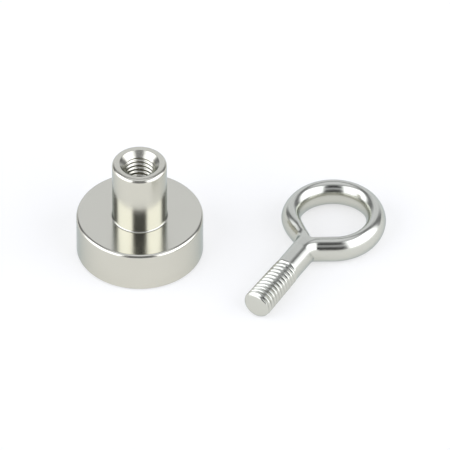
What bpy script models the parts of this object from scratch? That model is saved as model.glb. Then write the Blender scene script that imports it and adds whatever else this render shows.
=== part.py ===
"""Magnet fishing magnet: a pot magnet with a threaded bush, and its eye bolt.

Metres, +Z up. The origin is the centre of the magnet face, which the pot stands on.
The eye bolt is unscrewed and lies on the same surface, to the right of the pot.
"""

import math

import bmesh
import bpy
from mathutils import Matrix, Vector

MM = 0.001
FIT_GAP = 0.25 * MM  # clearance between pieces that are pressed or glued together

# Driving dimensions
POT_DIAMETER = 40.0 * MM
POT_HEIGHT = 14.1 * MM
TOTAL_HEIGHT = 35.6 * MM
BUSH_DIAMETER = 17.3 * MM
MAGNET_DIAMETER = 30.0 * MM
MAGNET_THICKNESS = 7.0 * MM
THREAD_PITCH = 25.4 * MM / 16
BOLT_THREAD_DIAMETER = 9.3 * MM
RING_INNER_DIAMETER = 20.8 * MM
RING_BAND = 6.25 * MM  # width of the ring's bar, seen from above
RING_HEIGHT = 9.15 * MM
BOLT_REACH = 47.0 * MM  # from the ring's centre to the tip
BOLT_THREAD_LENGTH = 18.0 * MM

# Pot
POT_RADIUS = POT_DIAMETER / 2
POT_EDGE_RADIUS = 1.1 * MM
POT_LIP_CHAMFER = 0.5 * MM
RIM_WALL = 3.4 * MM
GLUE_THICKNESS = 0.3 * MM
CAVITY_RADIUS = POT_RADIUS - RIM_WALL
CAVITY_DEPTH = MAGNET_THICKNESS + GLUE_THICKNESS + 2 * FIT_GAP
EPOXY_RECESS = 0.3 * MM

# Bush
BUSH_RADIUS = BUSH_DIAMETER / 2
SPIGOT_RADIUS = 7.0 * MM
BUSH_EDGE_RADIUS = 1.3 * MM
FOOT_FILLET = 0.5 * MM
MOUTH_RADIUS = 6.3 * MM
MOUTH_DEPTH = 1.12 * MM
BORE_DEPTH = 22.0 * MM
DRILL_POINT = 2.4 * MM
NUT_CREST_RADIUS = 4.35 * MM
NUT_ROOT_RADIUS = 4.95 * MM
NUT_TURN = math.radians(-227)  # where the thread starts, about Z

# Bolt thread
BOLT_CREST_RADIUS = BOLT_THREAD_DIAMETER / 2
BOLT_ROOT_RADIUS = 3.9 * MM
TIP_ROUND = 1.4 * MM
CREST_SHARE = 0.22  # part of a pitch that is flat at the crest, and again at the root

# Eye
RING_RADIUS = (RING_INNER_DIAMETER + RING_BAND) / 2
EYE_EDGE = 3.0 * MM  # width of the rounding along each edge of the eye
EYE_POWER = 1.14  # 1 is an elliptical bar; above 1 its sides are rounder
LIMB_EDGE = 2.6 * MM  # the -Y limb is thinnest here, so its rounding is narrower
LIMB_MIDDLE = math.radians(-42)
HOLE_POINT_EDGE = 1.5 * MM  # and at the hole's point, where the limbs merge
RING_OFFSET = 0.75 * MM  # the ring's centre lies this far to one side of the shank
HOLE_POINT = 13.3 * MM  # from the ring's centre to the hole's pointed end at the neck
NECK_HALF_WIDTH = 4.05 * MM
NECK_HALF_HEIGHT = 4.15 * MM
CROTCH_RIGHT = 17.5 * MM  # from the ring's centre to where the +Y limb meets the neck
CROTCH_LEFT = Vector((15.0 * MM, -4.9 * MM))  # where the -Y limb meets it
OUTSIDE_LEAVES = math.radians(-78)  # where the -Y limb's outside leaves the ring's circle
HOLE_LEAVES = math.radians(-80)  # and where the hole does
NECK_END = BOLT_REACH - BOLT_THREAD_LENGTH
THREAD_LEAD_IN = 0.4 * MM
CORE_DEPTH = 6.0 * MM  # the shank's point inside the neck

# Where the bolt lies
BOLT_PLACE = Vector((61.1 * MM, 7.5 * MM, BOLT_CREST_RADIUS))
BOLT_HEADING = math.radians(239.4)

# Smoothness
TURNED_STEPS = 56
THREAD_STEPS = 20
RUN_OUT_STEPS = 8  # the thread fades in and out over this part of a turn


def clear_scene():
    for obj in list(bpy.data.objects):
        bpy.data.objects.remove(obj, do_unlink=True)


def new_collection(name):
    collection = bpy.data.collections.new(name)
    bpy.context.scene.collection.children.link(collection)
    return collection


def new_material(name, colour, roughness, metallic):
    material = bpy.data.materials.new(name)
    material.use_nodes = True
    shader = material.node_tree.nodes["Principled BSDF"]
    shader.inputs["Base Color"].default_value = (*colour, 1.0)
    shader.inputs["Roughness"].default_value = roughness
    shader.inputs["Metallic"].default_value = metallic
    return material


def new_object(name, mesh, collection):
    obj = bpy.data.objects.new(name, mesh)
    collection.objects.link(obj)
    return obj


def make_cutter(obj):
    obj.hide_render = True
    obj.display_type = "WIRE"


def add_boolean(obj, name, operation, other, solver="EXACT"):
    modifier = obj.modifiers.new(name, "BOOLEAN")
    modifier.operation = operation
    modifier.solver = solver
    modifier.object = other


def finish(obj, material, sharp_angle=30.0):
    obj.data.materials.append(material)
    obj.data.shade_smooth()
    obj.data.set_sharp_from_angle(angle=math.radians(sharp_angle))


def turned(name, profile, collection, closed=True):
    """A profile of (radius, height) points turned about Z. It runs down its outer side."""
    mesh = bpy.data.meshes.new(name)
    points = [(radius, 0.0, height) for radius, height in profile]
    edges = [(i, i + 1) for i in range(len(points) - 1)]
    if closed:
        edges.append((len(points) - 1, 0))
    mesh.from_pydata(points, edges, [])
    obj = new_object(name, mesh, collection)
    screw = obj.modifiers.new("turn", "SCREW")
    screw.angle = 2 * math.pi
    screw.steps = TURNED_STEPS
    screw.render_steps = TURNED_STEPS
    screw.use_merge_vertices = True
    screw.merge_threshold = 1e-6
    return obj


def arc(centre, radius, start, end, steps):
    """Points along an arc, from the angle start to the angle end, in degrees."""
    angles = [math.radians(start + (end - start) * i / steps) for i in range(steps + 1)]
    return [(centre[0] + radius * math.cos(a), centre[1] + radius * math.sin(a)) for a in angles]


def helical_rod(name, crest, root, length, point_depth, collection):
    """A closed rod about Z with a right-hand thread from height 0 up, and a point below it."""
    flat = CREST_SHARE * THREAD_PITCH
    flank = THREAD_PITCH / 2 - flat
    section = [(root, 0.0), (root, flat), (crest, flat + flank), (crest, 2 * flat + flank)]
    steps = THREAD_STEPS * math.ceil(length / THREAD_PITCH)
    shape = bmesh.new()
    rows = []
    for step in range(steps + 1):
        turn = step / THREAD_STEPS
        angle = 2 * math.pi * turn
        fade = min(1.0, step / RUN_OUT_STEPS, (steps - step) / RUN_OUT_STEPS)
        row = []
        for radius, height in section:
            radius = root + (radius - root) * fade
            place = (radius * math.cos(angle), radius * math.sin(angle), height + turn * THREAD_PITCH)
            row.append(shape.verts.new(place))
        rows.append(row)
    # Each row's section ends where the row one turn later begins.
    top_row = [
        shape.verts.new(rows[step][0].co + Vector((0, 0, THREAD_PITCH)))
        for step in range(steps + 1 - THREAD_STEPS, steps + 1)
    ]
    starts = [row[0] for row in rows] + top_row
    for step, row in enumerate(rows):
        row.append(starts[step + THREAD_STEPS])
    for low, high in zip(rows, rows[1:]):
        for i in range(len(section)):
            shape.faces.new((low[i], high[i], high[i + 1], low[i + 1]))
    foot = shape.verts.new((0, 0, -point_depth))
    head = shape.verts.new((0, 0, rows[-1][-1].co.z))
    first_turn = [row[0] for row in rows[: THREAD_STEPS + 1]] + rows[0][-2:0:-1]
    last_turn = starts[-THREAD_STEPS - 1 :] + rows[-1][-2:0:-1]
    for loop, tip in ((first_turn, foot), (last_turn, head)):
        for a, b in zip(loop, loop[1:] + loop[:1]):
            shape.faces.new((a, b, tip))
    bmesh.ops.recalc_face_normals(shape, faces=shape.faces)
    mesh = bpy.data.meshes.new(name)
    shape.to_mesh(mesh)
    shape.free()
    return new_object(name, mesh, collection)


def make_pot_shell(parts, nickel):
    hole = SPIGOT_RADIUS + FIT_GAP
    wall = POT_RADIUS
    profile = [
        (hole, POT_HEIGHT),
        *arc((wall - POT_EDGE_RADIUS, POT_HEIGHT - POT_EDGE_RADIUS), POT_EDGE_RADIUS, 90, 0, 4),
        (wall, POT_LIP_CHAMFER),
        (wall - POT_LIP_CHAMFER, 0.0),
        (CAVITY_RADIUS, 0.0),
        (CAVITY_RADIUS, CAVITY_DEPTH),
        (hole, CAVITY_DEPTH),
    ]
    finish(turned("pot_shell", profile, parts), nickel)


def make_magnet_disc(parts, magnet_metal):
    radius = MAGNET_DIAMETER / 2
    edge = 0.4 * MM
    profile = [
        (0.0, MAGNET_THICKNESS),
        (radius - edge, MAGNET_THICKNESS),
        (radius, MAGNET_THICKNESS - edge),
        (radius, edge),
        (radius - edge, 0.0),
        (0.0, 0.0),
    ]
    finish(turned("magnet_disc", profile, parts, closed=False), magnet_metal)


def make_adhesive_layer(parts, glue):
    bottom = MAGNET_THICKNESS + FIT_GAP
    radius = MAGNET_DIAMETER / 2 - 0.5 * MM
    top = bottom + GLUE_THICKNESS
    profile = [(0.0, top), (radius, top), (radius, bottom), (0.0, bottom)]
    finish(turned("adhesive_layer", profile, parts, closed=False), glue)


def make_epoxy_ring(parts, epoxy):
    inner = MAGNET_DIAMETER / 2 + FIT_GAP
    outer = CAVITY_RADIUS - FIT_GAP
    top = MAGNET_THICKNESS - 0.5 * MM
    profile = [(inner, top), (outer, top), (outer, EPOXY_RECESS), (inner, EPOXY_RECESS)]
    finish(turned("epoxy_ring", profile, parts), epoxy)


def make_threaded_bush(parts, cutters, nickel):
    seat = POT_HEIGHT + FIT_GAP
    foot = CAVITY_DEPTH + FIT_GAP
    top = TOTAL_HEIGHT
    edge_centre = (BUSH_RADIUS - BUSH_EDGE_RADIUS, top - BUSH_EDGE_RADIUS)
    fillet_centre = (BUSH_RADIUS + FOOT_FILLET, seat + FOOT_FILLET)
    profile = [(0.0, top)]
    profile += arc(edge_centre, BUSH_EDGE_RADIUS, 90, 0, 4)
    profile += arc(fillet_centre, FOOT_FILLET, 180, 270, 3)
    profile += [(SPIGOT_RADIUS, seat), (SPIGOT_RADIUS, foot), (0.0, foot)]
    bush = turned("threaded_bush", profile, parts, closed=False)

    # The tap: a threaded rod, kept to the depth of the bore, below a conical mouth.
    tap = helical_rod("bush_tap", NUT_ROOT_RADIUS, NUT_CREST_RADIUS, BORE_DEPTH, DRILL_POINT, cutters)
    tap.location.z = top - BORE_DEPTH
    tap.rotation_euler.z = NUT_TURN
    slope = (MOUTH_RADIUS - NUT_ROOT_RADIUS) / MOUTH_DEPTH
    over = 1.0 * MM
    mouth = turned(
        "bush_mouth",
        [
            (0.0, top + over),
            (MOUTH_RADIUS + over * slope, top + over),
            (NUT_ROOT_RADIUS, top - MOUTH_DEPTH),
            (0.0, top - MOUTH_DEPTH),
        ],
        cutters,
        closed=False,
    )
    for cutter in (tap, mouth):
        make_cutter(cutter)
        add_boolean(bush, cutter.name, "DIFFERENCE", cutter)
    finish(bush, nickel)


def tangent_angle(reach, side, radius):
    """The angle at which a line from the point (reach, side) touches a circle at the origin."""
    return math.atan2(side, reach) + math.acos(radius / math.hypot(reach, side))


def limb_curve(radius, leaves, end, heading, pull, steps=7):
    """A bend that leaves the ring's circle at the angle leaves and comes to the point end."""
    start = Vector((math.cos(leaves), math.sin(leaves))) * radius
    first = start + Vector((-math.sin(leaves), math.cos(leaves))) * pull[0]
    second = end - Vector((math.cos(heading), math.sin(heading))) * pull[1]
    points = []
    for i in range(steps + 1):
        t = i / steps
        s = 1 - t
        points.append(start * s**3 + first * 3 * s * s * t + second * 3 * s * t * t + end * t**3)
    return [tuple(point) for point in points]


def outer_outline(steps):
    """The eye seen from above, anticlockwise: the neck's +Y side, the ring, the -Y side."""
    radius = RING_RADIUS + RING_BAND / 2
    right = NECK_HALF_WIDTH - RING_OFFSET
    left = NECK_HALF_WIDTH + RING_OFFSET
    start = math.degrees(tangent_angle(CROTCH_RIGHT, right, radius))
    around = arc((0.0, 0.0), radius, start, 360 + math.degrees(OUTSIDE_LEAVES), steps)
    limb = limb_curve(radius, OUTSIDE_LEAVES, CROTCH_LEFT, math.radians(50), (7.5 * MM, 4.0 * MM))
    return [(NECK_END, right), (CROTCH_RIGHT, right), *around, *limb[1:], (NECK_END, -left)]


def hole_outline(steps):
    """The ring's hole: a circle that runs out into a point at the neck."""
    radius = RING_INNER_DIAMETER / 2
    start = math.degrees(tangent_angle(HOLE_POINT, 0.0, radius))
    around = arc((0.0, 0.0), radius, start, 360 + math.degrees(HOLE_LEAVES), steps)
    point = Vector((HOLE_POINT, 0.0))
    limb = limb_curve(radius, HOLE_LEAVES, point, math.radians(35), (5.5 * MM, 5.0 * MM))
    return [tuple(point), *around, *limb[1:-1]]


def edge_width(point):
    """How far the rounding reaches in from the outline at a point of it."""
    away = min(abs(math.atan2(point[1], point[0]) - LIMB_MIDDLE) / math.radians(40), 1.0)
    return LIMB_EDGE + (EYE_EDGE - LIMB_EDGE) * away * away * (3 - 2 * away)


def hole_edge_width(point):
    """The same for the hole, whose rounding narrows towards its point."""
    near = min((Vector((HOLE_POINT, 0.0)) - Vector(point)).length / (5 * MM), 1.0)
    return HOLE_POINT_EDGE + (edge_width(point) - HOLE_POINT_EDGE) * near * near * (3 - 2 * near)


def inset(outline, distances):
    """The outline moved into the material, which is on its left, with mitred corners."""
    moved = []
    count = len(outline)
    for i, point in enumerate(outline):
        before = Vector(point) - Vector(outline[i - 1])
        after = Vector(outline[(i + 1) % count]) - Vector(point)
        a = Vector((-before.y, before.x)).normalized()
        b = Vector((-after.y, after.x)).normalized()
        mitre = (a + b) / (1 + a.dot(b))
        moved.append(Vector(point) + mitre * distances[i])
    return moved


def half_height(along):
    """The eye is as high as the ring, and comes down to the neck's height on the shank."""
    share = (along - CROTCH_LEFT.x) / (NECK_END - CROTCH_LEFT.x)
    share = min(max(share, 0.0), 1.0)
    ease = share * share * (3 - 2 * share)
    return RING_HEIGHT / 2 + (NECK_HALF_HEIGHT - RING_HEIGHT / 2) * ease


def make_eye_bolt(parts, cutters, nickel):
    levels = 5
    shape = bmesh.new()
    flats = {1: [], -1: []}
    outer = outer_outline(32)
    hole = list(reversed(hole_outline(26)))
    outer_widths = [edge_width(point) for point in outer]
    hole_widths = [hole_edge_width(point) for point in hole]
    for outline, widths in ((outer, outer_widths), (hole, hole_widths)):
        loops = []
        for level in range(-levels, levels + 1):
            lift = math.radians(90 * level / levels)
            points = inset(outline, [width * (1 - math.cos(lift) ** EYE_POWER) for width in widths])
            up = math.copysign(abs(math.sin(lift)) ** EYE_POWER, lift)
            loops.append([shape.verts.new((x, y, half_height(x) * up)) for x, y in points])
        for low, high in zip(loops, loops[1:]):
            for i in range(len(low)):
                shape.faces.new((low[i - 1], low[i], high[i], high[i - 1]))
        flats[-1] += [shape.edges.get((loops[0][i - 1], loops[0][i])) for i in range(len(outline))]
        flats[1] += [shape.edges.get((loops[-1][i - 1], loops[-1][i])) for i in range(len(outline))]
    for edges in flats.values():
        bmesh.ops.triangle_fill(shape, use_beauty=True, edges=edges)
    bmesh.ops.recalc_face_normals(shape, faces=shape.faces)
    mesh = bpy.data.meshes.new("eye_bolt")
    shape.to_mesh(mesh)
    shape.free()
    bolt = new_object("eye_bolt", mesh, parts)
    bolt.location = BOLT_PLACE
    bolt.rotation_euler.z = BOLT_HEADING

    # The threaded shank starts just inside the neck, and is turned flat and rounded at the tip.
    start = NECK_END - THREAD_LEAD_IN
    length = BOLT_REACH - start
    shank = helical_rod("bolt_shank", BOLT_CREST_RADIUS, BOLT_ROOT_RADIUS, length, CORE_DEPTH, cutters)
    over = 1.0 * MM
    tip = turned(
        "bolt_tip",
        [
            (0.0, length + 4 * over),
            (BOLT_CREST_RADIUS + over, length + 4 * over),
            (BOLT_CREST_RADIUS + over, length - TIP_ROUND),
            *arc((BOLT_CREST_RADIUS - TIP_ROUND, length - TIP_ROUND), TIP_ROUND, 0, 90, 3),
            (0.0, length),
        ],
        cutters,
        closed=False,
    )
    onto_neck = Matrix.Translation((start, -RING_OFFSET, 0.0)) @ Matrix.Rotation(math.pi / 2, 4, "Y")
    for cutter, operation in ((shank, "UNION"), (tip, "DIFFERENCE")):
        cutter.matrix_world = Matrix.Translation(BOLT_PLACE) @ Matrix.Rotation(BOLT_HEADING, 4, "Z") @ onto_neck
        make_cutter(cutter)
        # The exact solver leaves open edges where the thread runs into the neck.
        add_boolean(bolt, cutter.name, operation, cutter, solver="MANIFOLD")
    finish(bolt, nickel)


def main():
    clear_scene()
    parts = new_collection("magnet_fishing_magnet")
    cutters = new_collection("cutters")
    nickel = new_material("nickel_plate", (0.62, 0.61, 0.57), 0.22, 1.0)
    magnet_metal = new_material("magnet_nickel", (0.55, 0.54, 0.52), 0.3, 1.0)
    epoxy = new_material("black_epoxy", (0.02, 0.02, 0.022), 0.35, 0.0)
    glue = new_material("clear_glue", (0.55, 0.5, 0.38), 0.4, 0.0)
    make_pot_shell(parts, nickel)
    make_magnet_disc(parts, magnet_metal)
    make_adhesive_layer(parts, glue)
    make_epoxy_ring(parts, epoxy)
    make_threaded_bush(parts, cutters, nickel)
    make_eye_bolt(parts, cutters, nickel)


main()
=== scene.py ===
"""The looks of the magnet fishing magnet: fine meshes, nickel, resin and glue, and a pale studio.

Metres, +Z up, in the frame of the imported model. Every piece is worked out from that model's boxes
and the dimensions named below.
"""

import math

import bmesh
import bpy
from mathutils import Matrix, Vector


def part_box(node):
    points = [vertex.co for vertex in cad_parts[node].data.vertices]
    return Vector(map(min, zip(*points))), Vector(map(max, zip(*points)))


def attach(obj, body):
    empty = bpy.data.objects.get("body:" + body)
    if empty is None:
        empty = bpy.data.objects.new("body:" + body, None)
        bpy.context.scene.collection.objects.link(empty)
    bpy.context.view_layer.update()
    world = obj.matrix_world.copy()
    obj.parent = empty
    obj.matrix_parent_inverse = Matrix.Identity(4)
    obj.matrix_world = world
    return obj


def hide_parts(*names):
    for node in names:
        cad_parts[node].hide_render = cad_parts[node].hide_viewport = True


MM = 0.001
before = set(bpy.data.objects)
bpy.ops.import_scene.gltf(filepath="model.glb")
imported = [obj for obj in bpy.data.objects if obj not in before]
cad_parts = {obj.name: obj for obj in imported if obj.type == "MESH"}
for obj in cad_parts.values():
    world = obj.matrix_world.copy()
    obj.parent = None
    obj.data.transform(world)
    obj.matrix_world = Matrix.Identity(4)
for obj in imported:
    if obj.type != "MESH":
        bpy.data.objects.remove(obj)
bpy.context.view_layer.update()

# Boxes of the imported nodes
POT_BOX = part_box("pot_shell")
BUSH_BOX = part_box("threaded_bush")
MAGNET_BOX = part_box("magnet_disc")
GLUE_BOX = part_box("adhesive_layer")
EPOXY_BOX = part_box("epoxy_ring")
BOLT_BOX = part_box("eye_bolt")

# Pot
POT_RADIUS = POT_BOX[1].x
POT_HEIGHT = POT_BOX[1].z
POT_EDGE_RADIUS = 1.1 * MM
POT_LIP_CHAMFER = 0.5 * MM
POT_SMALL_ROUND = 0.15 * MM
CAVITY_RADIUS = 16.6 * MM
CAVITY_DEPTH = 7.8 * MM
POT_HOLE_RADIUS = 7.25 * MM

# Magnet, resin and glue
MAGNET_EDGE = 0.4 * MM
RESIN_CLEARANCE = 0.03 * MM
MENISCUS = 0.15 * MM  # the resin creeps up both walls as it sets
GLUE_EDGE = 0.12 * MM

# Bush
BUSH_RADIUS = 8.65 * MM
BUSH_TOP = BUSH_BOX[1].z
BUSH_SEAT = POT_HEIGHT + 0.03 * MM
BUSH_EDGE_RADIUS = 1.3 * MM
FOOT_FILLET = 0.5 * MM
SPIGOT_RADIUS = 7.0 * MM
SPIGOT_END = BUSH_BOX[0].z
SPIGOT_CENTRE = 0.5 * MM  # radius of the innermost ring of faces on the spigot's end
MOUTH_RADIUS = 6.3 * MM
MOUTH_SLOPE = 1.2  # how much the mouth narrows for each unit of depth
MOUTH_BREAK = 0.048 * MM  # added to the mouth's radius where it meets the rim
RIM_MARGIN = 0.12 * MM  # from the mouth to the rim's first ring of vertices
BORE_DEPTH = 22.0 * MM
DRILL_POINT = 2.4 * MM

# Threads
THREAD_PITCH = 25.4 * MM / 16
CREST_FULLNESS = 1.6  # above 1 makes the crests wider than the roots
NUT_CREST_RADIUS = 4.35 * MM
NUT_ROOT_RADIUS = 4.95 * MM
NUT_PHASE = 0.63  # in turns
BOLT_CREST_RADIUS = 4.65 * MM
BOLT_CREST_AT_NECK = 4.35 * MM
BOLT_ROOT_RADIUS = 3.9 * MM
TIP_ROUND = 1.4 * MM
RUN_OUT = 1.0 * MM  # length over which the thread fades into the neck

# Ring of the eye, in the bolt's own frame: its centre is the origin, +X runs to the shank's tip
RING_INNER = 10.4 * MM
RING_BAND = 6.25 * MM
RING_OUTER = RING_INNER + RING_BAND
RING_HALF_HEIGHT = 4.575 * MM
RING_OFFSET = 0.75 * MM  # from the shank's axis to the ring's centre
EYE_EDGE = 3.0 * MM  # how far the rounded side reaches in from the outline
EYE_POWER = 1.14  # 1 is an elliptical bar; above 1 its sides are rounder and its top comes sooner

# -Y limb of the eye, which is thinner and bends in towards the neck
LIMB_LEAVES = math.radians(-78)  # where its outside leaves the ring's circle
LIMB_HEADING = math.radians(50)  # and its direction at the crotch
LIMB_PULLS = (7.5 * MM, 4.0 * MM)  # how far the bend follows its first and last directions
LIMB_CUT = 4  # points at the end of the bend that the rounded crotch takes the place of
LIMB_MIDDLE = math.radians(-42)  # bearing at which its rounded side is narrowest
LIMB_SPREAD = math.radians(40)  # and how far to each side of that the narrowing reaches
LIMB_EDGE = 2.6 * MM

# Hole of the eye
HOLE_LEAVES = math.radians(-80)  # where it leaves its circle on the -Y side
HOLE_HEADING = math.radians(35)  # and its direction at the point
HOLE_PULLS = (5.5 * MM, 5.0 * MM)
HOLE_POINT = 13.3 * MM
HOLE_POINT_ROUND = 0.35 * MM
HOLE_POINT_EDGE = 1.6 * MM
HOLE_POINT_REACH = 5.0 * MM  # how far from the point its narrower side is felt

# Crotches, neck and shank
CROTCH_RIGHT = 17.5 * MM
CROTCH_LEFT = Vector((15.0 * MM, -4.9 * MM))
CROTCH_LEFT_SHARE = 0.6  # of the rounding that the +Y crotch has
CROTCH_ROUND = 0.3 * MM
CROTCH_SOFTNESS = 3.0 * MM  # how much rounder the crotches are at the top than at the bottom
SOFTENS_FROM, SOFTENS_TO = -0.5, 0.8  # heights between which they change, 1 being the top
NECK_HALF_WIDTH = 4.05 * MM
NECK_HALF_HEIGHT = 4.15 * MM
NECK_START = 19.5 * MM
NECK_END = 29.0 * MM
BOLT_REACH = 47.0 * MM
BOLT_HEADING = math.radians(239.4)
BOLT_PLACE = Vector((BOLT_BOX[1].x - RING_OUTER, BOLT_BOX[1].y - RING_OUTER, BOLT_CREST_RADIUS))

# Smoothness, in rows or columns of faces
TURNED_STEPS = 192
THREAD_STEPS = 28  # in each pitch
POT_ROUND_STEPS = 12
BUSH_EDGE_STEPS = 14
FILLET_STEPS = 8
MENISCUS_STEPS = 12
SIDE_STEPS = 14  # in each half of the eye's rounded side
RING_STEPS = 110
HOLE_STEPS = 90
BEND_STEPS = 24
CROTCH_STEPS = 12
HOLE_POINT_STEPS = 10
SHANK_FLAT_STEPS = 8


# Shapes


def ease(share):
    """Rises smoothly from 0 to 1 as the share does."""
    share = min(max(share, 0.0), 1.0)
    return share * share * (3 - 2 * share)


def new_object(name, mesh):
    """A piece whose flat faces keep their own normals, so that its reflections stay true."""
    obj = bpy.data.objects.new(name, mesh)
    bpy.context.scene.collection.objects.link(obj)
    weigh = obj.modifiers.new("weigh_normals", "WEIGHTED_NORMAL")
    weigh.mode = "FACE_AREA"
    weigh.weight = 100
    weigh.keep_sharp = True
    return obj


def mesh_from(name, shape, sharp_angle=40.0):
    """The mesh of a bmesh, which it uses up, with edges sharp above an angle in degrees."""
    bmesh.ops.remove_doubles(shape, verts=shape.verts, dist=1e-7)
    bmesh.ops.dissolve_degenerate(shape, edges=shape.edges, dist=1e-7)
    bmesh.ops.recalc_face_normals(shape, faces=shape.faces)
    mesh = bpy.data.meshes.new(name)
    shape.to_mesh(mesh)
    shape.free()
    mesh.shade_smooth()
    mesh.set_sharp_from_angle(angle=math.radians(sharp_angle))
    return mesh


def arc(centre, radius, start, end, steps):
    """Points along an arc, from the angle start to the angle end, in degrees."""
    angles = [math.radians(start + (end - start) * i / steps) for i in range(steps + 1)]
    return [(centre[0] + radius * math.cos(a), centre[1] + radius * math.sin(a)) for a in angles]


def rounded(profile, radii, steps=6):
    """The open profile with each inner corner rounded to its radius."""
    points = [Vector(profile[0])]
    for before, corner, after, radius in zip(profile, profile[1:], profile[2:], radii):
        corner = Vector(corner)
        to_before = (Vector(before) - corner).normalized()
        to_after = (Vector(after) - corner).normalized()
        half = to_before.angle(to_after) / 2
        cut = radius / math.tan(half)
        centre = corner + (to_before + to_after).normalized() * (radius / math.sin(half))
        start = corner + to_before * cut - centre
        turn = start.angle_signed(corner + to_after * cut - centre)
        for i in range(steps + 1):
            points.append(centre + start @ Matrix.Rotation(turn * i / steps, 2))
    points.append(Vector(profile[-1]))
    return [tuple(p) for p in points]


def lathe_rows(shape, profile):
    """Rows of vertices, one for each point of a (radius, height) profile turned about Z."""
    angles = [2 * math.pi * i / TURNED_STEPS for i in range(TURNED_STEPS)]
    return [
        [shape.verts.new((radius * math.cos(a), radius * math.sin(a), height)) for a in angles]
        for radius, height in profile
    ]


def bridge(shape, rows, closed=True):
    """Faces between each row and the next. The end of a closed row is joined to its start."""
    for low, high in zip(rows, rows[1:]):
        for i in range(0 if closed else 1, len(low)):
            shape.faces.new((low[i - 1], low[i], high[i], high[i - 1]))


def turned(name, profile):
    """A piece turned from a profile that starts and ends on the axis, or ends where it starts."""
    shape = bmesh.new()
    bridge(shape, lathe_rows(shape, profile))
    return new_object(name, mesh_from(name, shape))


def thread_share(phase):
    """How far a thread stands out at a phase of its pitch: 0 at the root, 1 at the crest."""
    wave = 0.5 - 0.5 * math.cos(2 * math.pi * phase)
    return 1 - (1 - wave) ** CREST_FULLNESS


# Pieces of the pot


def make_pot():
    corners = [
        (POT_HOLE_RADIUS, CAVITY_DEPTH),
        (POT_HOLE_RADIUS, POT_HEIGHT),
        (POT_RADIUS, POT_HEIGHT),
        (POT_RADIUS, POT_LIP_CHAMFER),
        (POT_RADIUS - POT_LIP_CHAMFER, 0.0),
        (CAVITY_RADIUS, 0.0),
        (CAVITY_RADIUS, CAVITY_DEPTH),
        (POT_HOLE_RADIUS, CAVITY_DEPTH),
    ]
    radii = [POT_SMALL_ROUND] * 6
    radii[1] = POT_EDGE_RADIUS
    pot = turned("pot_body", rounded(corners, radii, POT_ROUND_STEPS))
    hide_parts("pot_shell")
    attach(pot, "pot_magnet")
    return pot


def bore_radius(height, angle):
    """The radius of the thread or of the conical mouth, whichever is wider."""
    turns = (height - (BUSH_TOP - BORE_DEPTH)) / THREAD_PITCH
    groove = thread_share(turns - angle / (2 * math.pi) - NUT_PHASE) * min(1.0, turns)
    thread = NUT_CREST_RADIUS + (NUT_ROOT_RADIUS - NUT_CREST_RADIUS) * groove
    mouth = MOUTH_RADIUS + MOUTH_BREAK - (BUSH_TOP - height) * MOUTH_SLOPE
    return max(thread, mouth)


def bore_rows(shape):
    """Rows of vertices down the bore, from its mouth to where the drill's point starts."""
    count = round(BORE_DEPTH / THREAD_PITCH * THREAD_STEPS)
    rows = []
    for step in range(count + 1):
        height = BUSH_TOP - BORE_DEPTH * step / count
        row = []
        for i in range(TURNED_STEPS):
            angle = 2 * math.pi * i / TURNED_STEPS
            radius = bore_radius(height, angle)
            place = (radius * math.cos(angle), radius * math.sin(angle), height)
            row.append(shape.verts.new(place))
        rows.append(row)
    return rows


def make_bush():
    edge_centre = (BUSH_RADIUS - BUSH_EDGE_RADIUS, BUSH_TOP - BUSH_EDGE_RADIUS)
    fillet_centre = (BUSH_RADIUS + FOOT_FILLET, BUSH_SEAT + FOOT_FILLET)
    outside = [(MOUTH_RADIUS + RIM_MARGIN, BUSH_TOP)]
    outside += arc(edge_centre, BUSH_EDGE_RADIUS, 90, 0, BUSH_EDGE_STEPS)
    outside += arc(fillet_centre, FOOT_FILLET, 180, 270, FILLET_STEPS)
    outside += [(SPIGOT_RADIUS, BUSH_SEAT), (SPIGOT_RADIUS, SPIGOT_END)]
    outside += [(SPIGOT_CENTRE, SPIGOT_END), (0.0, SPIGOT_END)]

    shape = bmesh.new()
    rows = lathe_rows(shape, outside)[::-1]
    rows += bore_rows(shape)
    rows += lathe_rows(shape, [(0.0, BUSH_TOP - BORE_DEPTH - DRILL_POINT)])
    bridge(shape, rows)
    bush = new_object("bush_body", mesh_from("bush_body", shape))
    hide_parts("threaded_bush")
    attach(bush, "pot_magnet")
    return bush


def make_magnet():
    radius, top = MAGNET_BOX[1].x, MAGNET_BOX[1].z
    corners = [(0.0, 0.0), (radius, 0.0), (radius, top), (0.0, top)]
    disc = turned("magnet", rounded(corners, [MAGNET_EDGE] * 2))
    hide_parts("magnet_disc")
    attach(disc, "pot_magnet")
    return disc


def make_epoxy():
    inner = MAGNET_BOX[1].x + RESIN_CLEARANCE
    outer = CAVITY_RADIUS - RESIN_CLEARANCE
    low, top = EPOXY_BOX[0].z, EPOXY_BOX[1].z
    middle, half = (inner + outer) / 2, (outer - inner) / 2
    face = []
    for i in range(MENISCUS_STEPS + 1):
        side = -1 + 2 * i / MENISCUS_STEPS
        face.append((middle + half * side, low + MENISCUS * (0.5 - side * side)))
    ring = turned("epoxy", face + [(outer, top), (inner, top), face[0]])
    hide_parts("epoxy_ring")
    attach(ring, "pot_magnet")
    return ring


def make_glue():
    radius, low, high = GLUE_BOX[1].x, GLUE_BOX[0].z, GLUE_BOX[1].z
    corners = [(0.0, low), (radius, low), (radius, high), (0.0, high)]
    film = turned("glue", rounded(corners, [GLUE_EDGE] * 2))
    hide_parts("adhesive_layer")
    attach(film, "pot_magnet")
    return film


# Eye bolt


def tangent_angle(reach, side, radius):
    """The angle at which a line from the point (reach, side) touches a circle at the origin."""
    return math.atan2(side, reach) + math.acos(radius / math.hypot(reach, side))


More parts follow.
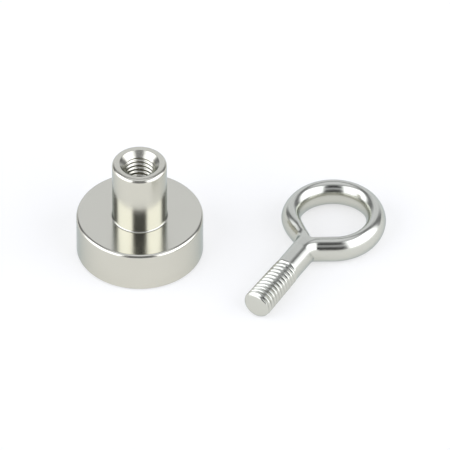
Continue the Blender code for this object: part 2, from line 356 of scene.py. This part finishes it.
def with_normals(path):
    """(point, normal) for each point of an open path, the normals pointing to its left."""
    found = []
    for i, point in enumerate(path):
        before = Vector(path[max(i - 1, 0)])
        after = Vector(path[min(i + 1, len(path) - 1)])
        along = (after - before).normalized()
        found.append((Vector(point), Vector((-along.y, along.x))))
    return found


def limb_curve(radius, leaves, end, heading, pulls):
    """A bend that leaves the circle at the angle leaves and comes to the point end."""
    start = Vector((math.cos(leaves), math.sin(leaves))) * radius
    first = start + Vector((-math.sin(leaves), math.cos(leaves))) * pulls[0]
    second = end - Vector((math.cos(heading), math.sin(heading))) * pulls[1]
    points = []
    for i in range(BEND_STEPS + 1):
        t = i / BEND_STEPS
        s = 1 - t
        points.append(start * s**3 + first * 3 * s * s * t + second * 3 * s * t * t + end * t**3)
    return points


def outer_path(crotch_round):
    """The eye's outside from the neck's +Y side, round the ring and back to its -Y side."""
    right = NECK_HALF_WIDTH - RING_OFFSET
    left = NECK_HALF_WIDTH + RING_OFFSET
    start = math.degrees(tangent_angle(CROTCH_RIGHT, right, RING_OUTER))
    ring = arc((0.0, 0.0), RING_OUTER, start, 360 + math.degrees(LIMB_LEAVES), RING_STEPS)
    corners = [(NECK_START, right), (CROTCH_RIGHT, right), ring[0]]
    right_crotch = rounded(corners, [crotch_round], CROTCH_STEPS)[:-1]
    limb = limb_curve(RING_OUTER, LIMB_LEAVES, CROTCH_LEFT, LIMB_HEADING, LIMB_PULLS)
    limb = [tuple(p) for p in limb[1:-LIMB_CUT]]
    corners = [limb[-1], CROTCH_LEFT, (NECK_START, -left)]
    left_crotch = rounded(corners, [crotch_round * CROTCH_LEFT_SHARE], CROTCH_STEPS)[1:]
    return right_crotch + ring + limb + left_crotch


def hole_path():
    """The eye's hole, clockwise, from its rounded point at the neck and back to it."""
    start = math.degrees(tangent_angle(HOLE_POINT, 0.0, RING_INNER))
    ring = arc((0.0, 0.0), RING_INNER, math.degrees(HOLE_LEAVES), start - 360, HOLE_STEPS)
    point = Vector((HOLE_POINT, 0.0))
    limb = limb_curve(RING_INNER, HOLE_LEAVES, point, HOLE_HEADING, HOLE_PULLS)
    tip = rounded([ring[-1], point, limb[-2]], [HOLE_POINT_ROUND], HOLE_POINT_STEPS)[1:-1]
    return tip + [tuple(p) for p in reversed(limb[1:-1])] + ring


def edge_width(point):
    """How far the rounded side reaches in from the outline at a point of it."""
    away = abs(math.atan2(point.y, point.x) - LIMB_MIDDLE) / LIMB_SPREAD
    return LIMB_EDGE + (EYE_EDGE - LIMB_EDGE) * ease(away)


def hole_edge_width(point):
    """The same for the hole, whose side is narrower at its point."""
    away = (Vector((HOLE_POINT, 0.0)) - point).length / HOLE_POINT_REACH
    return HOLE_POINT_EDGE + (edge_width(point) - HOLE_POINT_EDGE) * ease(away)


def half_height(along):
    """The eye is as high as the ring, and comes down to the neck's height on the shank."""
    down = ease((along - CROTCH_LEFT.x) / (NECK_END - CROTCH_LEFT.x))
    return RING_HALF_HEIGHT + (NECK_HALF_HEIGHT - RING_HALF_HEIGHT) * down


def outer_outline(lift):
    """The outside at an angle of lift on the eye's rounded side, -90 to 90 degrees."""
    softer = ease((math.sin(lift) - SOFTENS_FROM) / (SOFTENS_TO - SOFTENS_FROM))
    return with_normals(outer_path(CROTCH_ROUND + CROTCH_SOFTNESS * softer))


def side_loops(shape, outline_at, widths):
    """Loops of vertices up the eye's rounded side, from its flat bottom to its flat top."""
    loops = []
    for step in range(-SIDE_STEPS, SIDE_STEPS + 1):
        lift = math.radians(90 * step / SIDE_STEPS)
        inward = 1 - math.cos(lift) ** EYE_POWER
        up = math.copysign(abs(math.sin(lift)) ** EYE_POWER, lift)
        loop = []
        for (point, normal), width in zip(outline_at(lift), widths):
            at = point + normal * width * inward
            loop.append(shape.verts.new((at.x, at.y, half_height(at.x) * up)))
        loops.append(loop)
    return loops


def between(shape, start, end):
    """Vertices that divide the line between two others into equal steps."""
    shares = [i / SHANK_FLAT_STEPS for i in range(1, SHANK_FLAT_STEPS)]
    return [shape.verts.new(start.co.lerp(end.co, share)) for share in shares]


def shank_rows(shape, first_row):
    """Rows of vertices from the eye's open end, round the neck and down the thread to the tip."""
    sections = [Vector((v.co.y + RING_OFFSET, v.co.z)) for v in first_row]
    angles = [math.atan2(s.y, s.x) for s in sections]
    length = BOLT_REACH - NECK_START
    count = round(length / THREAD_PITCH * THREAD_STEPS)
    rows = [first_row]
    for step in range(1, count + 1):
        along = NECK_START + length * step / count
        threaded = ease((along - NECK_END + RUN_OUT) / RUN_OUT)
        widened = min(max((along - NECK_END) / (BOLT_REACH - NECK_END), 0.0), 1.0)
        crest = BOLT_CREST_AT_NECK + (BOLT_CREST_RADIUS - BOLT_CREST_AT_NECK) * widened
        into_tip = max(TIP_ROUND - (BOLT_REACH - along), 0.0)
        tip = BOLT_CREST_RADIUS - TIP_ROUND + math.sqrt(max(TIP_ROUND**2 - into_tip**2, 0.0))
        row = []
        for section, angle in zip(sections, angles):
            share = thread_share(along / THREAD_PITCH - angle / (2 * math.pi))
            thread = BOLT_ROOT_RADIUS + (crest - BOLT_ROOT_RADIUS) * share
            radius = min(section.length + (thread - section.length) * threaded, tip)
            place = (along, radius * math.cos(angle) - RING_OFFSET, radius * math.sin(angle))
            row.append(shape.verts.new(place))
        rows.append(row)
    return rows


def edges_round(shape, loop):
    """The edges of a closed loop of vertices, made where there are none."""
    pairs = [(loop[i - 1], loop[i]) for i in range(len(loop))]
    return [shape.edges.get(pair) or shape.edges.new(pair) for pair in pairs]


def make_bolt():
    shape = bmesh.new()
    outside_widths = [edge_width(point) for point, _ in outer_outline(0.0)]
    outside = side_loops(shape, outer_outline, outside_widths)
    bridge(shape, outside, closed=False)

    path = hole_path()
    hole_outline = with_normals([path[-1], *path, path[0]])[1:-1]
    hole_widths = [hole_edge_width(point) for point, _ in hole_outline]
    hole = side_loops(shape, lambda lift: hole_outline, hole_widths)
    bridge(shape, hole)

    # The shank's first row is the eye's open end, closed across its flat top and bottom.
    top_row = between(shape, outside[-1][0], outside[-1][-1])
    low_row = between(shape, outside[0][-1], outside[0][0])
    first_row = [loop[0] for loop in outside] + top_row
    first_row += [loop[-1] for loop in reversed(outside)] + low_row
    rows = shank_rows(shape, first_row)
    bridge(shape, rows)
    shape.faces.new(rows[-1])

    for outer_loop, hole_loop in (
        (outside[-1] + top_row[::-1], hole[-1]),
        (outside[0] + low_row, hole[0]),
    ):
        edges = edges_round(shape, outer_loop) + edges_round(shape, hole_loop)
        bmesh.ops.triangle_fill(shape, use_beauty=True, edges=edges)

    turn = Matrix.Rotation(BOLT_HEADING, 4, "Z")
    bmesh.ops.transform(shape, matrix=turn, verts=shape.verts)
    bmesh.ops.translate(shape, vec=BOLT_PLACE, verts=shape.verts)
    bolt = new_object("eye_bolt_body", mesh_from("eye_bolt_body", shape, 50.0))
    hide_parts("eye_bolt")
    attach(bolt, "eye_bolt")
    return bolt


# Nodes


def feed(tree, node, inputs):
    """Joins each of a node's inputs to the socket given for it, or sets it to the value given."""
    for key, value in inputs.items():
        if isinstance(value, bpy.types.NodeSocket):
            tree.links.new(value, node.inputs[key])
        else:
            node.inputs[key].default_value = value


def add_node(tree, kind, inputs=None, **settings):
    node = tree.nodes.new(kind)
    for key, value in settings.items():
        setattr(node, key, value)
    feed(tree, node, inputs or {})
    return node


def mixed(tree, factor, first, second, blend_type="MIX"):
    """The socket of a colour mixed from two others."""
    inputs = {"Factor": factor, "A": first, "B": second}
    mix = add_node(tree, "ShaderNodeMix", inputs, data_type="RGBA", blend_type=blend_type)
    return mix.outputs["Result"]


# Materials

POT_NICKEL = (0.62, 0.605, 0.53)
BUSH_NICKEL = (0.63, 0.615, 0.535)
MAGNET_NICKEL = (0.6, 0.595, 0.57)
BOLT_NICKEL = (0.6, 0.6, 0.54)
EDGE_TINT = (0.64, 0.69, 0.71, 1.0)  # nickel looks darker and bluer at a glancing angle
GRAIN_HEIGHT = 0.004 * MM
CREVICE_SHADE_REACH = 0.9 * MM  # metal this near other metal gets painted shade that darkens its colour
RESIN_COLOURS = ((0.012, 0.012, 0.014, 1.0), (0.03, 0.03, 0.033, 1.0))
GLUE_COLOURS = ((0.5, 0.42, 0.26, 1.0), (0.62, 0.55, 0.38, 1.0))
FLOOR_COLOURS = ((0.4, 0.4, 0.4, 1.0), (0.408, 0.408, 0.408, 1.0))
FLOOR_GLOW = 0.6


class Look:
    """A Principled material in the making, and the nodes that vary it over a piece."""

    def __init__(self, name):
        self.material = bpy.data.materials.new(name)
        self.material.use_nodes = True
        self.tree = self.material.node_tree
        self.place = add_node(self.tree, "ShaderNodeTexCoord").outputs["Object"]

    def noise(self, scale, detail, roughness=0.5):
        inputs = {"Vector": self.place, "Scale": scale, "Detail": detail, "Roughness": roughness}
        return add_node(self.tree, "ShaderNodeTexNoise", inputs).outputs["Fac"]

    def spread(self, value, low, high, start=0.0, end=1.0, **settings):
        """A value that runs from start to end, made to run from low to high."""
        inputs = {"Value": value, "From Min": start, "From Max": end, "To Min": low, "To Max": high}
        return add_node(self.tree, "ShaderNodeMapRange", inputs, **settings).outputs["Result"]

    def bump(self, height, strength, distance):
        inputs = {"Height": height, "Strength": strength, "Distance": distance}
        return add_node(self.tree, "ShaderNodeBump", inputs).outputs["Normal"]

    def finish(self, inputs):
        """Feeds the Principled shader and gives the material."""
        feed(self.tree, self.tree.nodes["Principled BSDF"], inputs)
        return self.material


def nickel(name, colour, roughness, grain):
    """Satin nickel with a fine grain, cloudy colour and painted shade darkening its crevices."""
    look = Look(name)
    clouds = look.noise(120.0, 3.0)
    fine = look.noise(2600.0, 2.0, 0.6)
    tint = mixed(look.tree, clouds, (*colour, 1.0), (*[c * 1.04 for c in colour], 1.0))
    # Painted shade: ambient occlusion darkens the colour in crevices such as the thread's roots,
    # down to 0.3 of it.
    inputs = {"Distance": CREVICE_SHADE_REACH}
    openness = add_node(look.tree, "ShaderNodeAmbientOcclusion", inputs, samples=8).outputs["AO"]
    crevice_shade = look.spread(openness, 0.3, 1.0, 0.25, 0.8, interpolation_type="SMOOTHSTEP")
    return look.finish(
        {
            "Metallic": 1.0,
            "Specular Tint": EDGE_TINT,
            "Base Color": mixed(look.tree, 1.0, tint, crevice_shade, "MULTIPLY"),
            "Roughness": look.spread(fine, roughness * 0.85, roughness * 1.15),
            "Normal": look.bump(fine, grain, GRAIN_HEIGHT),
        }
    )


def resin(name):
    look = Look(name)
    clouds = look.noise(300.0, 4.0)
    return look.finish(
        {
            "Base Color": mixed(look.tree, clouds, *RESIN_COLOURS),
            "Roughness": look.spread(clouds, 0.22, 0.4),
            "Normal": look.bump(clouds, 0.2, 0.05 * MM),
        }
    )


def cured_glue(name):
    look = Look(name)
    clouds = look.noise(220.0, 4.0)
    return look.finish(
        {
            "Base Color": mixed(look.tree, clouds, *GLUE_COLOURS),
            "Roughness": look.spread(clouds, 0.3, 0.5),
        }
    )


def pale_floor(name):
    look = Look(name)
    clouds = look.noise(3.0, 2.0)
    return look.finish(
        {
            "Base Color": mixed(look.tree, clouds, *FLOOR_COLOURS),
            "Roughness": 1.0,
            "Specular IOR Level": 0.0,
            "Emission Color": (1.0, 1.0, 1.0, 1.0),
            "Emission Strength": FLOOR_GLOW,
        }
    )


# Studio

FLOOR_SIZE = 40.0
BACKDROP = (0.98, 0.985, 0.99, 1.0)
LIGHT_STRENGTH = 2.4
LIGHT_TINT = (0.985, 1.01, 1.085)
CAMERA_TILT = math.radians(42.18)  # below the horizon
CAMERA_LENS = 1000.0
SENSOR = 36.0
VIEW_WIDTH = 142.36 * MM
AIM = Vector((26.86 * MM, 10.43 * MM, 0.0))

# Radiance of the studio by elevation in degrees, for four bearings from the camera's own side
OVERHEAD = [(62, 0.3), (66, 0.9)]
FRONT = [(0, 0.01), (12, 0.02), (20, 0.2), (25, 0.55), (31, 0.55), (36, 0.02), (47, 0.02)]
FRONT += [(53, 0.25), (58, 0.25), *OVERHEAD]
SOFTBOX = [(0, 2.35), (53, 2.35), (57, 0.28), *OVERHEAD]
SIDE = [(0, 0.22), (54, 0.22), *OVERHEAD]
BACK = [(0, 0.9), (48, 0.9), (52, 0.15), (60, 0.15), (66, 0.9)]

# Bearings in degrees over which each of the four gives way to the next
FRONT_TO_SOFTBOX = (24, 36)
SOFTBOX_TO_SIDE = (95, 115)
SIDE_TO_BACK = (126, 150)


def make_world(world):
    """A soft studio: two tall softboxes at the sides, a white ceiling and a pale wall behind."""
    world.use_nodes = True
    tree = world.node_tree

    def maths(operation, *values):
        inputs = dict(enumerate(values))
        return add_node(tree, "ShaderNodeMath", inputs, operation=operation).outputs[0]

    def column(elevation, stops):
        ramp = add_node(tree, "ShaderNodeValToRGB", {"Fac": elevation})
        elements = ramp.color_ramp.elements
        elements.remove(elements[-1])
        for i, (at, radiance) in enumerate(stops):
            # A ramp keeps its elements in order, so each is made at its own place.
            element = elements.new(at / 90) if i else elements[0]
            element.position = at / 90
            share = radiance / LIGHT_STRENGTH
            element.color = (*[share * c for c in LIGHT_TINT], 1.0)
        return ramp.outputs["Color"]

    def blend(bearing, across, before, after):
        start, end = across
        inputs = {"Value": bearing, "From Min": math.radians(start), "From Max": math.radians(end)}
        share = add_node(tree, "ShaderNodeMapRange", inputs, interpolation_type="SMOOTHSTEP")
        return mixed(tree, share.outputs["Result"], before, after)

    direction = add_node(tree, "ShaderNodeTexCoord").outputs["Generated"]
    parts = add_node(tree, "ShaderNodeSeparateXYZ", {"Vector": direction}).outputs
    elevation = maths("DIVIDE", maths("ARCSINE", parts["Z"]), math.pi / 2)
    toward_camera = maths("MULTIPLY", parts["Y"], -1.0)
    bearing = maths("ABSOLUTE", maths("ARCTAN2", parts["X"], toward_camera))
    light = blend(bearing, FRONT_TO_SOFTBOX, column(elevation, FRONT), column(elevation, SOFTBOX))
    light = blend(bearing, SOFTBOX_TO_SIDE, light, column(elevation, SIDE))
    light = blend(bearing, SIDE_TO_BACK, light, column(elevation, BACK))
    background = tree.nodes["Background"]
    feed(tree, background, {"Color": light, "Strength": LIGHT_STRENGTH})

    # The camera itself sees a plain white backdrop.
    backdrop = add_node(tree, "ShaderNodeBackground", {"Color": BACKDROP})
    seen = add_node(tree, "ShaderNodeLightPath").outputs["Is Camera Ray"]
    inputs = {0: seen, 1: background.outputs["Background"], 2: backdrop.outputs["Background"]}
    surface = add_node(tree, "ShaderNodeMixShader", inputs).outputs["Shader"]
    feed(tree, tree.nodes["World Output"], {"Surface": surface})


def make_studio():
    scene = bpy.context.scene
    scene.view_settings.view_transform = "Standard"
    world = bpy.data.worlds.new("studio")
    scene.world = world
    make_world(world)

    shape = bmesh.new()
    bmesh.ops.create_grid(shape, x_segments=8, y_segments=8, size=FLOOR_SIZE / 2)
    floor = new_object("floor", mesh_from("floor", shape))
    floor.data.materials.append(pale_floor("pale_floor"))


def make_camera():
    camera = bpy.data.cameras.new("camera")
    camera.lens = CAMERA_LENS
    camera.sensor_width = SENSOR
    camera.clip_start = 0.1
    camera.clip_end = 200.0
    obj = bpy.data.objects.new("camera", camera)
    bpy.context.scene.collection.objects.link(obj)
    distance = VIEW_WIDTH * CAMERA_LENS / SENSOR
    away = Vector((0.0, -math.cos(CAMERA_TILT), math.sin(CAMERA_TILT)))
    obj.location = AIM + away * distance
    obj.rotation_euler = (math.pi / 2 - CAMERA_TILT, 0.0, 0.0)
    bpy.context.scene.camera = obj


def main():
    for piece, material in (
        (make_pot(), nickel("pot_nickel", POT_NICKEL, roughness=0.15, grain=0.6)),
        (make_bush(), nickel("bush_nickel", BUSH_NICKEL, roughness=0.2, grain=0.6)),
        (make_magnet(), nickel("magnet_nickel", MAGNET_NICKEL, roughness=0.25, grain=0.35)),
        (make_epoxy(), resin("black_epoxy")),
        (make_glue(), cured_glue("cured_glue")),
        (make_bolt(), nickel("bolt_nickel", BOLT_NICKEL, roughness=0.2, grain=0.5)),
    ):
        piece.data.materials.append(material)
    make_studio()
    make_camera()


main()
